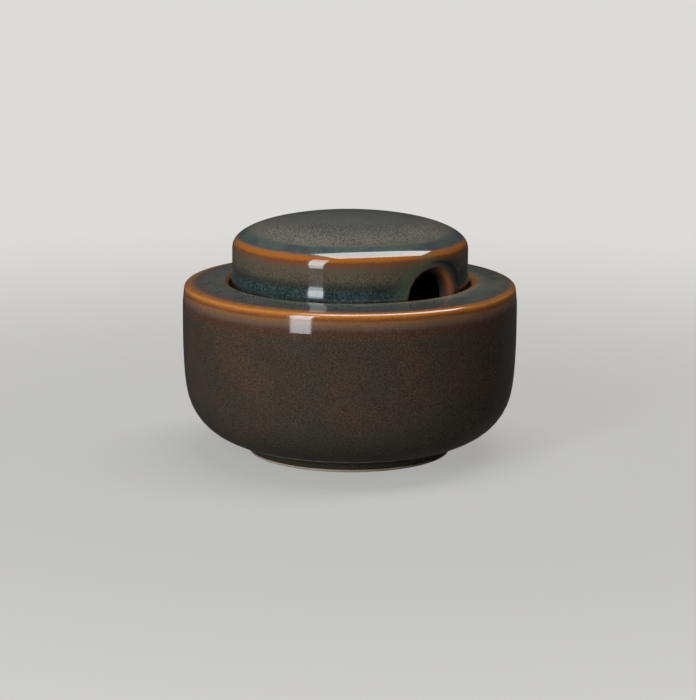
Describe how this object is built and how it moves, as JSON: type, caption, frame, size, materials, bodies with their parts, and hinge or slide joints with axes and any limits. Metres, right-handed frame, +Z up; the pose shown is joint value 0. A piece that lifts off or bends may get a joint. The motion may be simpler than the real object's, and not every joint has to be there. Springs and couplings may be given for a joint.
{
  "type": "sugar bowl with lid",
  "caption": "Round glazed stoneware sugar bowl with a broad flat shoulder and a domed lift-off lid that has a half-round spoon notch.",
  "frame": {"origin": "middle of the foot ring, on the plane that the bowl stands on", "axes": "+Z up along the axis that bowl and lid are turned about; -Y towards the lid's spoon notch"},
  "size_m": [0.105, 0.105, 0.0753],
  "materials": {
    "bowl_glaze": "gloss",
    "lid_glaze": "gloss"
  },
  "bodies": {
    "bowl": {"bowl": "bowl_glaze"},
    "lid": {"lid": "lid_glaze"}
  },
  "joints": [
    {"name": "lid_lift", "type": "slide", "parent": "bowl", "child": "lid", "axis": [0, 0, 1], "range_m": [0, 0.08]}
  ]
}
